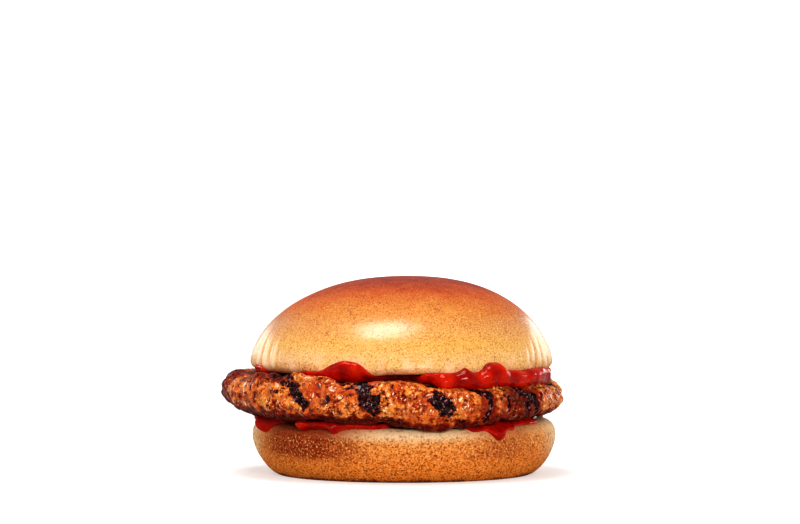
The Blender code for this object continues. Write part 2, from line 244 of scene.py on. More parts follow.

# Pale stretch marks on the crown's wall, partly stretched crust and partly painted streaks of reflected
# light: angle in degrees, half width and reach above the cut in mm.
STRETCH_MARKS_AND_SHEEN = (
    (-169, 1.0, 10),
    (-161.5, 1.7, 13),
    (-154, 1.5, 15),
    (-147, 0.9, 15),
    (-24, 0.7, 19),
    (-18, 1.9, 18),
    (-11, 1.9, 18),
    (-4, 1.6, 15),
    (30, 0.6, 9),
    (41, 1.3, 15),
    (46.5, 0.5, 12),
    (92, 0.7, 14),
    (138, 0.5, 10),
    (146.5, 1.1, 16),
    (155, 0.7, 12),
)

# Squeezes of ketchup: the angles in degrees between which each lies, how softly it starts and ends,
# how much further the sheet reaches along the crust in mm, and how far its foot runs out over the
# sausage, as a share of the way to the rim.
UPPER_SQUEEZES = (
    (-166, -154, 3, 8.3, 0.3),
    (-136, -112, 6, 7.4, 0.5),
    (-121, -101, 9, 12.2, 0.5),
    (-84, -74, 3, 7.2, 0.4),
    (-78, -14, 4, 7.1, 1.0),
    (-70, -61, 5, 8.4, 1.0),
    (-60, -46, 5, 9.9, 1.0),
    (-16, -4, 4, 5.6, 0.6),
    (4, 22, 6, 5.0, 0.3),
    (30, 46, 6, 7.2, 0.3),
    (52, 80, 9, 11.4, 1.0),
    (78, 96, 5, 8.0, 0.7),
    (104, 132, 8, 9.4, 0.9),
    (141, 159, 7, 9.8, 0.7),
)
LOWER_SQUEEZES = (
    (-161, -151, 5, 8.0, 0.9),
    (-136, -110, 3, 4.8, 0.9),
    (-114, -98, 4, 3.8, 0.8),
    (-134, -129, 2, 5.9, 0.9),
    (-121, -114, 5, 7.3, 0.9),
    (-66, -40, 4, 6.0, 0.9),
    (-57, -47, 5, 9.4, 1.0),
    (-44, -20, 5, 3.8, 0.8),
    (12, 27, 6, 4.5, 0.2),
    (33, 55, 6, 5.6, 0.6),
    (69, 84, 6, 8.8, 1.0),
    (86, 103, 5, 5.2, 0.6),
    (122, 140, 7, 8.2, 0.9),
    (141, 158, 5, 5.0, 0.6),
    (162, 175, 5, 6.2, 0.6),
)
# Where nothing is squeezed out, how far a sheet ends inside the bun's radius: on the crust, measured
# along it, and on the sausage.
SHEET_INSET = 7.0 * MM
FOOT_INSET = 7.7 * MM
UPPER_SPREAD, LOWER_SPREAD = 4.2 * MM, 7.2 * MM  # how far a full squeeze ends inside the sausage's rim
UPPER_BELLY, LOWER_BELLY, DRY_BELLY = 0.60, 0.68, 0.50  # bulge, as a share of the gap that it spans
BELLY_DROOP = 0.12
FOOT_FULLNESS = 0.35
SINK = 0.25 * MM  # how deep ketchup settles into what it lies on
SWELL_HEIGHT, SWELL_SIZE = 0.34 * MM, 4.2 * MM
RIPPLE_HEIGHT, RIPPLE_SIZE = 0.07 * MM, 1.9 * MM
UNEVENNESS = 0.10  # how much the reach along the crust varies
SHEET_STEPS = 900
# Rows of places in a sheet's section: along the crust, round the belly and over the sausage. The first
# and the last of these reach this far in, closely spaced, and then in one long step.
CRUST_ROWS, BELLY_ROWS, FOOT_ROWS = 24, 24, 18
CRUST_REACH, CRUST_LONG_REACH = 14 * MM, 24 * MM
FOOT_REACH, FOOT_LONG_REACH = 10 * MM, 20 * MM

# ---------------------------------------------------------------- small rules


def smoothstep(low, high, value):
    share = np.clip((value - low) / (high - low), 0, 1)
    return share * share * (3 - 2 * share)


def lerp(first, second, share):
    return first + (second - first) * share


def turn_between(first, second):
    """The signed angle from the second to the first, within half a turn."""
    return (first - second + math.pi) % math.tau - math.pi


def hump(angle, centre_degrees, half_width_degrees):
    off = turn_between(angle, math.radians(centre_degrees))
    return np.exp(-(np.abs(off / math.radians(half_width_degrees)) ** 3))


def stretch(angle, start_degrees, end_degrees, fade_degrees):
    """1 between the two angles and 0 beyond them, with this much fade at each."""
    middle, half = (start_degrees + end_degrees) / 2, (end_degrees - start_degrees) / 2
    off = np.degrees(np.abs(turn_between(angle, math.radians(middle))))
    return 1 - smoothstep(half - fade_degrees, half + fade_degrees, off)


def merged(values):
    """The largest of the values, or a little more where two are much alike."""
    return sum(value**6 for value in values) ** (1 / 6)


def heading(angle):
    return np.stack([np.cos(angle), np.sin(angle), np.zeros_like(angle)], axis=-1)


def swells(places, size, shift=(0, 0, 0)):
    """Smooth noise from -1 to 1, whose swells are about this size."""
    spots = (places / size + np.array(shift)).reshape(-1, 3).tolist()
    return np.array([noise.noise(spot) for spot in spots]).reshape(places.shape[:-1])


def grains(places, size, shift=(0, 0, 0)):
    """For grains packed together: how far each place is from a grain's middle, and the grain's lot."""
    spots = (places / size + np.array(shift)).reshape(-1, 3).tolist()
    found = []
    for spot in spots:
        distances, middles = noise.voronoi(spot)
        lot = (middles[0].dot(Vector((12.99, 78.23, 37.72)))) % 1
        found.append((distances[0], lot))
    return np.moveaxis(np.array(found).reshape(*places.shape[:-1], 2), -1, 0)


def evenly(profile, spacings):
    """Points along a profile, one set of even steps for each stretch given as (start, end, spacing)."""
    profile = np.array(profile)
    lengths = np.concatenate([[0], np.cumsum(np.linalg.norm(np.diff(profile, axis=0), axis=1))])
    stops = []
    for start, end, spacing in spacings:
        low, high = start * lengths[-1], end * lengths[-1]
        stops.append(np.linspace(low, high, max(2, round((high - low) / spacing)), endpoint=False))
    stops = np.concatenate(stops + [[lengths[-1]]])
    return np.stack([np.interp(stops, lengths, profile[:, axis]) for axis in (0, 1)], axis=-1)


# ---------------------------------------------------------------- the crown's form


def crown_wall(height):
    """Radius of the dome at this height, without its bottom edge's rounding."""
    rise = np.clip((height - CROWN_WIDEST) / (CROWN_TOP - CROWN_WIDEST), 0, 1)
    return BUN_RADIUS * (1 - rise**CROWN_SLOPE) ** (1 / CROWN_FLATNESS)


def crown_profile():
    """From the middle of the cut face, round the edge and over the dome to its top."""
    turn = np.linspace(0, math.pi / 2, 12)
    edge_height = CROWN_CUT + CROWN_EDGE * (1 - np.cos(turn))
    edge = np.stack([crown_wall(edge_height) - CROWN_EDGE * (1 - np.sin(turn)), edge_height], axis=-1)
    first_turn = math.asin((CROWN_CUT + CROWN_EDGE - CROWN_WIDEST) / (CROWN_TOP - CROWN_WIDEST))
    turn = np.linspace(first_turn, math.pi / 2, 400)[1:]
    height = CROWN_WIDEST + (CROWN_TOP - CROWN_WIDEST) * np.sin(turn)
    dome = np.stack([crown_wall(height), height], axis=-1)
    return np.concatenate([[(0.0, CROWN_CUT)], edge, dome])


def crease_depth(angle, height):
    """How deep the crown's wall is creased, with a rounded pleat between one crease and the next."""
    climb = height - CROWN_CUT
    depth = np.zeros(np.broadcast(angle, height).shape)
    for centre, half_width, deep, reach in CREASES:
        side = math.copysign(1, math.cos(math.radians(centre)))
        across = turn_between(angle, math.radians(centre)) * BUN_RADIUS - side * CREASE_LEAN * climb
        fade = 1 - smoothstep(0.35 * reach * MM, reach * MM, climb)
        depth += deep * MM * np.exp(-np.abs(across / (half_width * MM)) ** 1.4) * fade
    return depth


def stretch_marks_and_sheen(angle, height):
    """1 in the pale lens-shaped marks where the rising crust has stretched, which are partly painted
    streaks of reflected light.
    """
    climb = height - CROWN_CUT
    most = np.zeros(np.broadcast(angle, height).shape)
    for centre, half_width, reach in STRETCH_MARKS_AND_SHEEN:
        side = math.copysign(1, math.cos(math.radians(centre)))
        across = turn_between(angle, math.radians(centre)) * BUN_RADIUS - side * CREASE_LEAN * climb
        along = np.clip(climb / (reach * MM), 0, 1)
        width = half_width * MM * (0.25 + np.sin(math.pi * along**0.8))
        fade = smoothstep(0.02, 0.2, along) * (1 - smoothstep(0.55, 1, along))
        most = np.maximum(most, np.exp(-((across / width) ** 2)) * fade)
    return most


def fine_wrinkles(places, angle, height):
    """Shallow wrinkles that run up the wall between the creases."""
    near = sum(hump(angle, centre, 9) for centre, *others in CREASES)
    climb = height - CROWN_CUT
    band = smoothstep(0, 3 * MM, climb) * (1 - smoothstep(8 * MM, 18 * MM, climb))
    stretched = places * np.array((1, 1, WRINKLE_STRETCH))
    return WRINKLE_DEPTH * np.abs(swells(stretched, WRINKLE_SIZE)) * np.minimum(1, near) * band


def crown_skin():
    spacings = ((0, 0.36, 6 * MM), (0.36, 0.42, 0.5 * MM), (0.42, 1, 0.62 * MM))
    section = evenly(crown_profile(), spacings)
    angle = np.linspace(-math.pi, math.pi, BUN_STEPS, endpoint=False)[:, None]
    radius, height = section[:, 0][None, :], section[:, 1][None, :]
    out = heading(np.broadcast_to(angle, (angle.shape[0], radius.shape[1])))
    places = out * radius[..., None]
    places[..., 2] = height
    on_wall = smoothstep(0.80 * BUN_RADIUS, 0.97 * BUN_RADIUS, radius)
    off_axis = smoothstep(0, 0.2 * BUN_RADIUS, radius)
    rise = (height - CROWN_CUT) / (CROWN_TOP - CROWN_CUT)
    dents = -DENT_DEPTH * np.minimum(0, swells(places, DENT_SIZE)) * np.minimum(1, 10 * rise) * off_axis
    creases = (crease_depth(angle, height) + fine_wrinkles(places, angle, height)) * on_wall
    inward = dents + creases + CROWN_DIMPLE_DEPTH * swells(places, CROWN_DIMPLE_SIZE) * off_axis
    places = places - out * inward[..., None]
    places[..., 0] += CROWN_LEAN * rise**3 + CROWN_X
    near_cut = 1 - smoothstep(0, EDGE_LIFT_BAND, height - CROWN_CUT)
    places[..., 2] += EDGE_LIFT * hump(angle, EDGE_LIFT_AT, EDGE_LIFT_WIDTH) * near_cut * on_wall
    marks = stretch_marks_and_sheen(angle, height)
    return places, {"crease": creases / CREASE_FULL, "stretch": marks * on_wall}


# ---------------------------------------------------------------- the heel's form


def heel_profile():
    """From the middle of the cut face, round the shoulder and down to the middle of the underside."""
    turn = np.linspace(0, math.pi / 2, 16)
    shoulder = np.stack(
        [
            BUN_RADIUS - HEEL_SHOULDER * (1 - np.sin(turn)),
            HEEL_TOP - HEEL_SHOULDER * (1 - np.cos(turn)),
        ],
        axis=-1,
    )
    power = 2 / HEEL_FOOT_SQUARENESS
    turn = np.linspace(0, math.pi / 2, 60)[1:]
    foot = np.stack(
        [
            BUN_RADIUS - HEEL_FOOT_DEPTH * (1 - np.abs(np.cos(turn)) ** power),
            HEEL_FOOT_HEIGHT * (1 - np.sin(turn) ** power),
        ],
        axis=-1,
    )
    return np.concatenate([[(0.0, HEEL_TOP)], shoulder, foot, [(0.0, 0.0)]])


def heel_skin():
    spacings = ((0, 0.39, 6 * MM), (0.39, 0.66, 0.5 * MM), (0.66, 1, 6 * MM))
    section = evenly(heel_profile(), spacings)
    angle = np.linspace(-math.pi, math.pi, BUN_STEPS, endpoint=False)[:, None]
    radius, height = section[:, 0][None, :], section[:, 1][None, :]
    out = heading(np.broadcast_to(angle, (angle.shape[0], radius.shape[1])))
    places = out * radius[..., None]
    places[..., 2] = height
    on_side = smoothstep(0.8 * BUN_RADIUS, BUN_RADIUS, radius)
    dents = -DENT_DEPTH * np.minimum(0, swells(places, DENT_SIZE))
    middle, lot = grains(places, PORE_SIZE)
    pores = PORE_DEPTH * (1 - smoothstep(0.1, 0.5, middle)) * (lot > PORELESS_SHARE)
    inward = (dents + pores + HEEL_DIMPLE_DEPTH * swells(places, HEEL_DIMPLE_SIZE)) * on_side
    places = places - out * inward[..., None]
    places[..., 0] += HEEL_X
    rise = height / HEEL_TOP
    # The heel's side painted browner: partly uneven baking, partly painted shadow under the sausage.
    band = smoothstep(0.30, 0.55, rise) * (1 - smoothstep(0.95, 1.10, rise))
    browned_and_shaded = sum(share * hump(angle, at, width) for at, width, share in HEEL_BROWNING_AND_SHADE) * band
    # Paler places: partly paler crust, partly painted light on the far edges and at the shoulder.
    pale = sum(hump(angle, at, width) for at, width in HEEL_PALE_AND_LIT) * smoothstep(0.2, 0.6, rise)
    shoulders = sum(hump(angle, at, width) for at, width in SHOULDER_PALE_AND_LIT)
    pale = np.maximum(pale, shoulders * smoothstep(0.72, 0.88, rise))
    return places, {"pore": pores / PORE_DEPTH, "browned_and_shaded": np.clip(browned_and_shaded, 0, 1), "pale": pale}


# ---------------------------------------------------------------- the sausage's form


def patty_outline(angle):
    """The rim's radius at this angle."""
    wander = swells(heading(angle) * OUTLINE_WAVES, 1.0, (0, 0, 4.7))
    return PATTY_RADIUS + OUTLINE_WAVE * wander


def rim_share(radius):
    """0 over the flat middle of the sausage and 1 at its rim."""
    return smoothstep(PATTY_RADIUS - RIM_BAND, PATTY_RADIUS - 0.1 * RIM_BAND, radius)


def patty_mid(radius, angle):
    """Height of the middle of the sausage's thickness."""
    rightness = np.cos(angle)
    tilt = np.where(rightness > 0, RIGHT_DROP, LEFT_LIFT) * rightness
    return PATTY_MID - (tilt + RIM_SAG * np.sin(angle) ** 2) * rim_share(radius)


def edge_lift(radius, angle, side):
    """How far the rim's upper (side 1) or lower edge is raised."""
    lifts = TOP_LIFTS if side > 0 else BOTTOM_LIFTS
    rise = sum(lift * MM * hump(angle, at, width) for at, width, lift in lifts)
    return rise * smoothstep(PATTY_CORE - 2.0 * MM, PATTY_CORE + 3.5 * MM, radius)


def patty_thinning(radius, angle):
    """The share of the sausage's full thickness that is left here."""
    lost = END_THINNING * np.cos(angle) ** 2 + RIGHT_THINNING * np.cos(angle)
    return 1 - lost / PATTY_HALF * rim_share(radius)


def bar_groove(places, bars):
    """1 in the middle of a burnt groove and 0 away from them all."""
    across = places[..., 0] * math.cos(BAR_ANGLE) + places[..., 1] * math.sin(BAR_ANGLE)
    across = across + BAR_WANDER * swells(places, BAR_WANDER_SIZE)
    nearest = np.min(np.abs(across[..., None] - bars), axis=-1)
    return 1 - smoothstep(0.25 * BAR_WIDTH, 0.75 * BAR_WIDTH, nearest)


def broad_relief(places, radius):
    """How far the ground meat stands out of the smooth form, without its grains."""
    lumps = LUMP_HEIGHT * swells(places, LUMP_SIZE)
    crags = CRAG_HEIGHT * swells(places, CRAG_SIZE, np.array((0.3, 0.1, 0.2)) / CRAG_SIZE)
    above = places[..., 2] - PATTY_MID
    off_middle = smoothstep(0.6 * PATTY_HALF, 0.9 * PATTY_HALF, np.abs(above))
    groove = np.where(above > 0, bar_groove(places, TOP_BARS), bar_groove(places, BOTTOM_BARS))
    groove = groove * off_middle
    return (lumps + crags) * lerp(FLAT_SHARE, 1, rim_share(radius)) - BAR_DEPTH * groove, groove


def char_marks(angle, height, places):
    """1 inside the char strokes on the rim, ragged at their edges."""
    ragged = 0.9 * swells(places, 2.6 * MM) + 0.5 * swells(places, 1.1 * MM, (3, 1, 4))
    most = np.zeros_like(angle)
    for first_angle, first_height, last_angle, last_height, half_width in CHAR_STROKES:
        start = np.array((0.0, first_height * MM))
        end = np.array((math.radians(last_angle - first_angle) * PATTY_RADIUS, last_height * MM))
        spot = np.stack([turn_between(angle, math.radians(first_angle)) * PATTY_RADIUS, height], axis=-1)
        line = end - start
        share = np.clip(((spot - start) @ line) / (line @ line), 0, 1)
        off = np.linalg.norm(spot - start - share[..., None] * line, axis=-1)
        width = half_width * MM * (1 + 0.75 * ragged)
        most = np.maximum(most, 1 - smoothstep(0.75 * width, 1.25 * width, off))
    return most


def searing_and_shade(angle, upness, places):
    """How dark the meat is grilled, with painted shade in it: along its lower edge, and in patches."""
    drift = 0.35 * swells(places, 2.6 * MM, (4, 4, 1))
    # Darker along the lower edge: partly grilled colour, partly painted shade.
    most = 0.90 * (1 - smoothstep(-1.0, -0.42, upness + drift))
    for centre, half_width, high, low, strength in SEARED_AND_SHADED:
        level = smoothstep(low - 0.15, low + 0.15, upness)
        level = level * (1 - smoothstep(high - 0.15, high + 0.15, upness))
        most = np.maximum(most, strength * hump(angle, centre, half_width) * level * (0.75 + drift))
    return np.clip(most, 0, 1)


def patty_profile():
    """From the middle of the top, round the full rim and back to the middle of the underside."""
    turn = np.linspace(math.pi / 2, -math.pi / 2, 400)
    out = np.clip(np.cos(turn), 0, 1) ** (2 / RIM_SQUARENESS)
    up = np.sign(np.sin(turn)) * np.abs(np.sin(turn)) ** (2 / RIM_SQUARENESS)
    rim = np.stack([PATTY_CORE + RIM_DEPTH * out, PATTY_MID + PATTY_HALF * up], axis=-1)
    return np.concatenate([[(0.0, PATTY_TOP)], rim, [(0.0, PATTY_BOTTOM)]])


def patty_skin():
    spacings = ((0, 0.34, 8 * MM), (0.34, 0.41, 0.6 * MM), (0.41, 0.59, 0.42 * MM))
    spacings += ((0.59, 0.66, 0.6 * MM), (0.66, 1, 8 * MM))
    section = evenly(patty_profile(), spacings)
    angle = np.linspace(-math.pi, math.pi, PATTY_STEPS, endpoint=False)[:, None]
    radius, height = section[:, 0][None, :], section[:, 1][None, :]
    angle = np.broadcast_to(angle, (angle.shape[0], radius.shape[1]))
    out = heading(angle)
    places = out * radius[..., None]
    places[..., 2] = height
    outward = places - out * PATTY_CORE - np.array((0, 0, PATTY_MID))
    flat = np.zeros_like(outward)
    flat[..., 2] = np.sign(height - PATTY_MID)
    outward = np.where((radius < PATTY_CORE)[..., None], flat, outward)
    outward /= np.linalg.norm(outward, axis=-1, keepdims=True)
    scale = patty_outline(angle[:, :1]) / PATTY_RADIUS
    places[..., :2] *= scale[..., None]
    places[..., 2] = patty_mid(radius, angle) + (height - PATTY_MID) * patty_thinning(radius, angle)
    upness = (height - PATTY_MID) / PATTY_HALF
    places[..., 2] += edge_lift(radius, angle, 1) * smoothstep(0, 1, upness)
    places[..., 2] += edge_lift(radius, angle, -1) * smoothstep(0, 1, -upness)
    relief, groove = broad_relief(places, radius)
    # Ground meat: soft folds and ridges with sharp creases between them, over grains, with hollows here
    # and there.
    bent = places + BEND * swells(places, BEND_SIZE)[..., None]
    folds = np.abs(swells(bent, FOLD_SIZE, (7, 0, 1)))
    ridges = np.abs(swells(bent, RIDGE_SIZE, (5, 2, 8)))
    middle, lot = grains(bent, GRAIN_SIZE)
    hollow = smoothstep(0.34, 0.66, swells(places, HOLLOW_SIZE, (2, 9, 4)))
    granular = FOLD_HEIGHT * folds + RIDGE_HEIGHT * ridges + GRAIN_HEIGHT * (0.5 - middle)
    granular = granular - HOLLOW_DEPTH * hollow
    char = char_marks(angle, places[..., 2], places)
    barred = 0.75 * smoothstep(0.2, 0.9, groove) * smoothstep(-0.2, 0.3, swells(places, 4 * MM))
    char = np.maximum(char, barred)
    strength = lerp(FLAT_SHARE, 1, rim_share(radius))
    relief = relief + (granular - RELIEF_MIDDLE) * strength - CHAR_DEPTH * char
    # Where creases and hollows lie: the meat's colour is darkened there as painted shade.
    creased = 0.75 * (1 - smoothstep(0.0, 0.07, folds)) + 0.35 * (1 - smoothstep(0.0, 0.09, ridges))
    deep = np.clip(creased + 0.75 * hollow, 0, 1)
    marks = {"char": char, "deep": deep, "lot": lot, "seared_and_shaded": searing_and_shade(angle, upness, places)}
    return places + outward * relief[..., None], marks


def patty_face(places, side):
    """Height of the sausage's top (side 1) or underside (side -1) over these places."""
    distance = np.hypot(places[..., 0], places[..., 1])
    angle = np.arctan2(places[..., 1], places[..., 0])
    radius = distance * PATTY_RADIUS / patty_outline(angle)
    into_rim = np.clip((radius - PATTY_CORE) / RIM_DEPTH, 0, 0.96)
    half = PATTY_HALF * (1 - into_rim**RIM_SQUARENESS) ** (1 / RIM_SQUARENESS)
    height = patty_mid(radius, angle) + side * half * patty_thinning(radius, angle)
    height = height + edge_lift(radius, angle, side)
    over = np.stack([places[..., 0], places[..., 1], height], axis=-1)
    return height + side * np.maximum(0, broad_relief(over, radius)[0])


# ---------------------------------------------------------------- the ketchup's form


def rim_from(centre_x, angle):
    """Distance at this angle from the axis of a bun half to the sausage's rim."""
    along = centre_x * np.cos(angle)
    return -along + np.sqrt(along**2 + PATTY_RADIUS**2 - centre_x**2)


def along_crust(profile, side, distance):
    """Places at these distances along a crust's profile, sunk a little into it, as (radius, height)."""
    lengths = np.concatenate([[0], np.cumsum(np.linalg.norm(np.diff(profile, axis=0), axis=1))])
    tangent = np.gradient(profile, lengths, axis=0)
    radius, height, run, rise = (
        np.interp(distance, lengths, values) for values in (*profile.T, *tangent.T)
    )
    size = np.hypot(run, rise)
    return radius - side * SINK * rise / size, height + side * SINK * run / size


def ketchup_skin(side, centre_x, crust, squeezes, spread, full_belly):
    """A sheet between a bun half and the sausage, lofted round sections that differ with the angle."""
    angle = np.linspace(-math.pi, math.pi, SHEET_STEPS, endpoint=False)[:, None]
    wobble = swells(heading(angle[:, 0]) * 9, 1.0, (side, 2, 6))[:, None]
    climbs, runs = [], []
    for start, end, fade, reach, run in squeezes:
        span = stretch(angle, start, end, fade)
        climbs.append(reach * MM * span)
        runs.append(run * span)
    climb = merged(climbs) * (1 + UNEVENNESS * wobble)
    wet = np.minimum(1, merged(runs))
    edge = BUN_RADIUS - SHEET_INSET + climb
    foot = lerp(BUN_RADIUS - FOOT_INSET, rim_from(centre_x, angle) - spread, wet)

    back = np.concatenate([[CRUST_LONG_REACH], np.linspace(CRUST_REACH, 0, CRUST_ROWS)])[None, :]
    crust_radius, crust_height = along_crust(crust, side, edge - back)
    over = foot - np.concatenate([np.linspace(0, FOOT_REACH, FOOT_ROWS), [FOOT_LONG_REACH]])[None, :]
    full_angle = np.broadcast_to(angle, over.shape)
    places = heading(full_angle) * over[..., None] + np.array((centre_x, 0, 0))
    meat_height = patty_face(places, side) - side * SINK

    start = np.stack([crust_radius[:, -1:], crust_height[:, -1:]], axis=-1)
    end = np.stack([over[:, :1], meat_height[:, :1]], axis=-1)
    gap = np.linalg.norm(end - start, axis=-1, keepdims=True)
    bulge = gap * lerp(DRY_BELLY, full_belly, wet)[..., None]
    start_pull = start + np.array((1, -side * BELLY_DROOP)) * bulge
    wet_pull = np.stack([np.full_like(wet, 0.7), side * FOOT_FULLNESS * wet], axis=-1)
    end_pull = end + wet_pull * bulge
    share = np.linspace(0, 1, BELLY_ROWS + 2)[1:-1][None, :, None]
    rest = 1 - share
    belly = start * rest**3 + start_pull * (3 * rest**2 * share)
    belly = belly + end_pull * (3 * rest * share**2) + end * share**3
    axis_row = np.zeros_like(angle)
    radius = np.concatenate([axis_row, crust_radius, belly[..., 0], over, axis_row], axis=1)
    height = [crust_height[:, :1], crust_height, belly[..., 1], meat_height, meat_height[:, -1:]]
    height = np.concatenate(height, axis=1)
    places = heading(np.broadcast_to(angle, radius.shape)) * radius[..., None]
    places[..., 2] = height
    # The ripple swells up over the last rows on the crust and dies away over the first on the sausage.
    first = 1 + crust_radius.shape[1]
    last = first + BELLY_ROWS
    rows = np.arange(radius.shape[1])[None, :]
    shown = smoothstep(first - 8, first + 4, rows) * (1 - smoothstep(last - 2, last + 6, rows))
    ripple = SWELL_HEIGHT * swells(places, SWELL_SIZE, (side, 4, 1))
    ripple = ripple + RIPPLE_HEIGHT * swells(places, RIPPLE_SIZE)
    places = places + heading(np.broadcast_to(angle, radius.shape)) * (ripple * shown)[..., None]
    places[..., 0] += centre_x
    return places, {"wet": np.broadcast_to(wet, radius.shape)}


# ---------------------------------------------------------------- making the pieces


def wrapped(name, node, skin, finish):
    """A closed mesh piece from a skin, in place of a node. Its first and last rows lie on the axis."""
    places, marks = skin
    steps, rows = places.shape[:2]
    inner = rows - 2
    first_pole, last_pole = places[:, 0].mean(axis=0), places[:, -1].mean(axis=0)
    points = np.concatenate([[first_pole], places[:, 1:-1].reshape(-1, 3), [last_pole]])
    here = 1 + np.arange(steps)[:, None] * inner
    there = 1 + (np.arange(steps)[:, None] + 1) % steps * inner
    row = np.arange(inner - 1)[None, :]
    quads = np.stack([here + row, here + row + 1, there + row + 1, there + row], axis=-1).reshape(-1, 4)
    last = len(points) - 1
    starts, nexts = here[:, 0], there[:, 0]
    near = [(0, a, b) for a, b in zip(starts.tolist(), nexts.tolist())]
    far = [(last, b, a) for a, b in zip((starts + inner - 1).tolist(), (nexts + inner - 1).tolist())]
    mesh = bpy.data.meshes.new(name)
    mesh.from_pydata(points.tolist(), [], quads.tolist() + near + far)
    for mark, values in marks.items():
        values = np.broadcast_to(values, (steps, rows))
        flat = np.concatenate([[values[:, 0].mean()], values[:, 1:-1].ravel(), [values[:, -1].mean()]])
        mesh.attributes.new(mark, "FLOAT", "POINT").data.foreach_set("value", flat.astype(np.float32))
    centre = points.mean(axis=0)
    face = mesh.polygons[len(quads) // 2]
    if face.normal.dot(face.center - Vector(centre)) < 0:
        mesh.flip_normals()
    mesh.shade_smooth()
    mesh.materials.append(finish)
    piece = bpy.data.objects.new(name, mesh)
    bpy.context.scene.collection.objects.link(piece)
    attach(piece, BODY)
    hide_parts(node)
    return piece


# ---------------------------------------------------------------- shader maths


class Signal:
    """An output socket that takes part in sums. Each operation adds one Math node."""

    def __init__(self, finish, socket):
        self.finish, self.socket = finish, socket

    def _math(self, operation, first, second):
        return self.finish.node("ShaderNodeMath", {0: first, 1: second}, operation=operation)

    def __add__(self, other):
        return self._math("ADD", self, other)

    def __sub__(self, other):
        return self._math("SUBTRACT", self, other)

    def __rsub__(self, other):
        return self._math("SUBTRACT", other, self)

    def __mul__(self, other):
        return self._math("MULTIPLY", self, other)

    def __truediv__(self, other):
        return self._math("DIVIDE", self, other)

    __radd__, __rmul__ = __add__, __mul__

    def from_to(self, low, high):
        """0 below the low value, 1 above the high one, and smooth between them."""
        sockets = {"Value": self, "From Min": low, "From Max": high}
        return self.finish.node("ShaderNodeMapRange", sockets, interpolation_type="SMOOTHSTEP")


class Finish:
    """One material, and the nodes that are added to it."""

    def __init__(self, name):
        self.material = bpy.data.materials.new(name)
        self.material.use_nodes = True
        self.tree = self.material.node_tree
        self.tree.nodes.clear()
        self.place = self.node("ShaderNodeTexCoord", output="Object")

    def node(self, kind, sockets=None, output=0, stops=None, **settings):
        """Adds a node: its settings first, then its sockets' values or links. Returns one output."""
        node = self.tree.nodes.new(kind)
        for setting, value in settings.items():
            setattr(node, setting, value)
        if stops:
            ramp = node.color_ramp.elements
            while len(ramp) < len(stops):
                ramp.new(1.0)
            for element, (position, colour) in zip(ramp, stops):
                element.position, element.color = position, (*colour, 1)
        for socket, value in (sockets or {}).items():
            if isinstance(value, Signal):
                self.tree.links.new(value.socket, node.inputs[socket])
            else:
                node.inputs[socket].default_value = value
        return Signal(self, node.outputs[output]) if node.outputs else node

    def mark(self, name):
        """A value that the mesh carries at its points."""
        return self.node("ShaderNodeAttribute", output="Fac", attribute_name=name)

    def axis(self, name):
        return self.node("ShaderNodeSeparateXYZ", {0: self.place}, output=name)

    def moved(self, place, by):
        return self.node("ShaderNodeVectorMath", {0: place, 1: by}, operation="ADD")

    def drawn_out_upwards(self, share):
        """The place with its height multiplied by this share, which draws a texture out upwards."""
        sockets = {0: self.place, 1: (1.0, 1.0, share)}
        return self.node("ShaderNodeVectorMath", sockets, operation="MULTIPLY")

    def clouds(self, size, detail=3.0, roughness=0.5, shift=0.0, place=None):
        """Noise from 0 to 1 whose swells are about this size."""
        place = place or self.place
        if shift:
            place = self.moved(place, (shift,) * 3)
        sockets = {"Vector": place, "Scale": 1 / size, "Detail": detail, "Roughness": roughness}
        return self.node("ShaderNodeTexNoise", sockets)

    def cells(self, size, output="Distance"):
        """Cells of about this size: how far each middle is, or each cell's own random colour."""
        sockets = {"Vector": self.place, "Scale": 1 / size}
        return self.node("ShaderNodeTexVoronoi", sockets, output=output)

    def ramp(self, value, *stops):
        return self.node("ShaderNodeValToRGB", {"Fac": value}, output="Color", stops=stops)

    def mix(self, first, second, share, blend="MIX"):
        """Goes from the first colour to the second as the share goes from 0 to 1."""
        sockets = {0: share, 6: first, 7: second}
        settings = {"data_type": "RGBA", "blend_type": blend, "clamp_factor": True}
        return self.node("ShaderNodeMix", sockets, output=2, **settings)

    def bump(self, height, depth, strength=1.0):
        """A normal from a height of 0 to 1 that stands for this depth in metres."""
        return self.node("ShaderNodeBump", {"Height": height, "Distance": depth, "Strength": strength})

    def shaded(self, **sockets):
        """Ends the material with one Principled shader. Socket names have _ for a space."""
        sockets = {name.replace("_", " "): value for name, value in sockets.items()}
        shader = self.node("ShaderNodeBsdfPrincipled", sockets)
        self.node("ShaderNodeOutputMaterial", {"Surface": shader})
        return self.material


def colour(red, green, blue):
    return (red, green, blue, 1.0)


# ---------------------------------------------------------------- finishes


def speckled(finish, base, shade, light, size, depth):
    """Fine specks over a colour: dark ones that multiply it by the shade, and light ones."""
    grain = finish.clouds(size, 3.0, 0.6)
    base = finish.mix(base, shade, (1 - grain.from_to(0.34, 0.50)) * depth[0], "MULTIPLY")
    return finish.mix(base, light, grain.from_to(0.54, 0.68) * depth[1])


def dots(finish, size, fullest):
    """Round dots of uneven strength, about one to each step of the size."""
    middle = finish.cells(size)
    lot = finish.node("ShaderNodeSeparateColor", {0: finish.cells(size, "Color")}, output="Red")
    return (1 - middle.from_to(0.4 * fullest, fullest)) * lot.from_to(0.2, 0.8)


